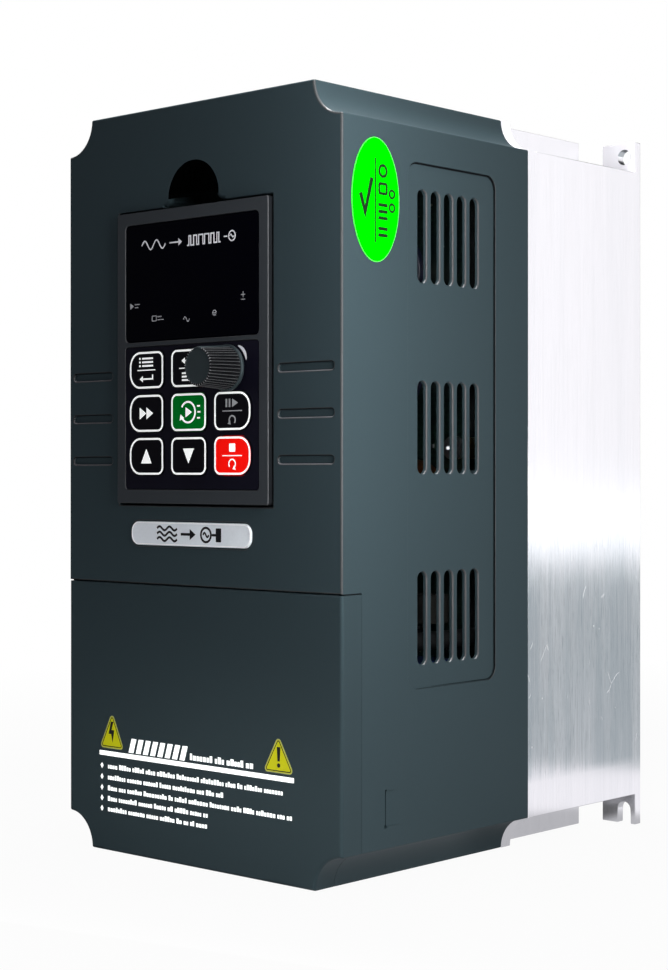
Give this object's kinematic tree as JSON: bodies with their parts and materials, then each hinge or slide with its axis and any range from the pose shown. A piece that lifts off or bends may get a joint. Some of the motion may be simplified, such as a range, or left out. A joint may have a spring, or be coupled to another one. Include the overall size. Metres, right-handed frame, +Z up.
{
  "type": "variable frequency drive",
  "caption": "Wall-mounted variable frequency drive: keypad with window, keys and speed knob, lift-off terminal cover, vented housing on a fan-cooled aluminium heatsink.",
  "frame": {"origin": "centre of the rear mounting plane, midway between the mounting lips and at mid height of the housing", "axes": "+X to the right seen from the front, +Y into the wall, +Z up; the front face looks along -Y"},
  "size_m": [0.1252, 0.1752, 0.245],
  "materials": {
    "aluminium": "brushed mill finish",
    "housing_plastic": "spark-eroded",
    "black_plastic": "moulded",
    "board_laminate": "solder mask",
    "brass": "turned",
    "steel": "zinc plated",
    "thermal_rubber": "soft",
    "capacitor_sleeve": "shrink sleeve",
    "ceramic": "cement",
    "transformer_tape": "film tape",
    "copper_winding": "enamelled",
    "sensor_blue": "moulded",
    "terminal_black": "moulded",
    "terminal_green": "moulded",
    "ribbon_grey": "flat cable",
    "lead_red": "wire",
    "plate_silver": "satin print",
    "sticker_green": "fluorescent",
    "grommet_rubber": "matt",
    "keypad_plastic": "spark-eroded",
    "window_gloss": "polished",
    "overlay_film": "satin film",
    "pot_zinc": "pressed",
    "knob_plastic": "moulded",
    "key_dark": "satin",
    "key_green": "satin",
    "key_red": "satin"
  },
  "bodies": {
    "chassis": {"heatsink": "aluminium", "main_housing": "housing_plastic", "board_carrier": "black_plastic", "power_board": "board_laminate", "standoffs": "brass", "power_board_screws": "steel", "thermal_pad": "thermal_rubber", "power_module": "black_plastic", "power_module_screws": "steel", "bus_capacitors": "capacitor_sleeve", "rectifier_bridge": "black_plastic", "rectifier_screw": "steel", "precharge_resistor": "ceramic", "precharge_relay": "black_plastic", "flyback_transformer": "transformer_tape", "common_mode_choke": "copper_winding", "current_sensors": "sensor_blue", "power_terminal_block": "terminal_black", "power_terminal_screws": "steel", "ground_screw": "steel", "control_board": "board_laminate", "control_board_screws": "steel", "control_terminal_block": "terminal_green", "control_terminal_screws": "steel", "keypad_socket": "black_plastic", "ribbon_cable": "ribbon_grey", "fan_frame_left": "black_plastic", "fan_frame_right": "black_plastic", "fan_tray": "housing_plastic", "fan_guards": "steel", "fan_cables": "lead_red", "housing_screws": "steel", "rating_plate": "plate_silver", "inspection_sticker": "sticker_green", "cable_grommets": "grommet_rubber"},
    "cover": {"terminal_cover": "housing_plastic"},
    "keypad": {"keypad_frame": "keypad_plastic", "keypad_back": "black_plastic", "display_window": "window_gloss", "keypad_overlay": "overlay_film", "keypad_board": "board_laminate", "led_display": "black_plastic", "tact_switches": "black_plastic", "potentiometer": "pot_zinc", "keypad_plug": "black_plastic", "keypad_screws": "steel"},
    "knob": {"speed_knob": "knob_plastic", "pot_shaft": "steel"},
    "fan_left": {"fan_rotor_left": "black_plastic"},
    "fan_right": {"fan_rotor_right": "black_plastic"},
    "key_menu": {"button_menu": "key_dark"},
    "key_enter": {"button_enter": "key_dark"},
    "key_shift": {"button_shift": "key_dark"},
    "key_run": {"button_run": "key_green"},
    "key_jog": {"button_jog": "key_dark"},
    "key_up": {"button_up": "key_dark"},
    "key_down": {"button_down": "key_dark"},
    "key_stop": {"button_stop": "key_red"}
  },
  "joints": [
    {"name": "keypad_slide", "type": "slide", "parent": "chassis", "child": "keypad", "axis": [0, -1, 0], "range_m": [0, 0.03]},
    {"name": "cover_slide", "type": "slide", "parent": "chassis", "child": "cover", "axis": [0, -1, 0], "range_m": [0, 0.04]},
    {"name": "speed_knob_turn", "type": "hinge", "parent": "keypad", "child": "knob", "pos_m": [0.0163, -0.165, 0.0365], "axis": [0, 1, 0], "range_deg": [-150, 150]},
    {"name": "fan_left_spin", "type": "hinge", "parent": "chassis", "child": "fan_left", "pos_m": [-0.023, -0.04225, 0.108], "axis": [0, 0, 1], "continuous": true},
    {"name": "fan_right_spin", "type": "hinge", "parent": "chassis", "child": "fan_right", "pos_m": [0.023, -0.04225, 0.108], "axis": [0, 0, 1], "continuous": true},
    {"name": "key_menu_press", "type": "slide", "parent": "keypad", "child": "key_menu", "axis": [0, 1, 0], "range_m": [0, 0.0005]},
    {"name": "key_enter_press", "type": "slide", "parent": "keypad", "child": "key_enter", "axis": [0, 1, 0], "range_m": [0, 0.0005]},
    {"name": "key_shift_press", "type": "slide", "parent": "keypad", "child": "key_shift", "axis": [0, 1, 0], "range_m": [0, 0.0005]},
    {"name": "key_run_press", "type": "slide", "parent": "keypad", "child": "key_run", "axis": [0, 1, 0], "range_m": [0, 0.0005]},
    {"name": "key_jog_press", "type": "slide", "parent": "keypad", "child": "key_jog", "axis": [0, 1, 0], "range_m": [0, 0.0005]},
    {"name": "key_up_press", "type": "slide", "parent": "keypad", "child": "key_up", "axis": [0, 1, 0], "range_m": [0, 0.0005]},
    {"name": "key_down_press", "type": "slide", "parent": "keypad", "child": "key_down", "axis": [0, 1, 0], "range_m": [0, 0.0005]},
    {"name": "key_stop_press", "type": "slide", "parent": "keypad", "child": "key_stop", "axis": [0, 1, 0], "range_m": [0, 0.0005]}
  ]
}
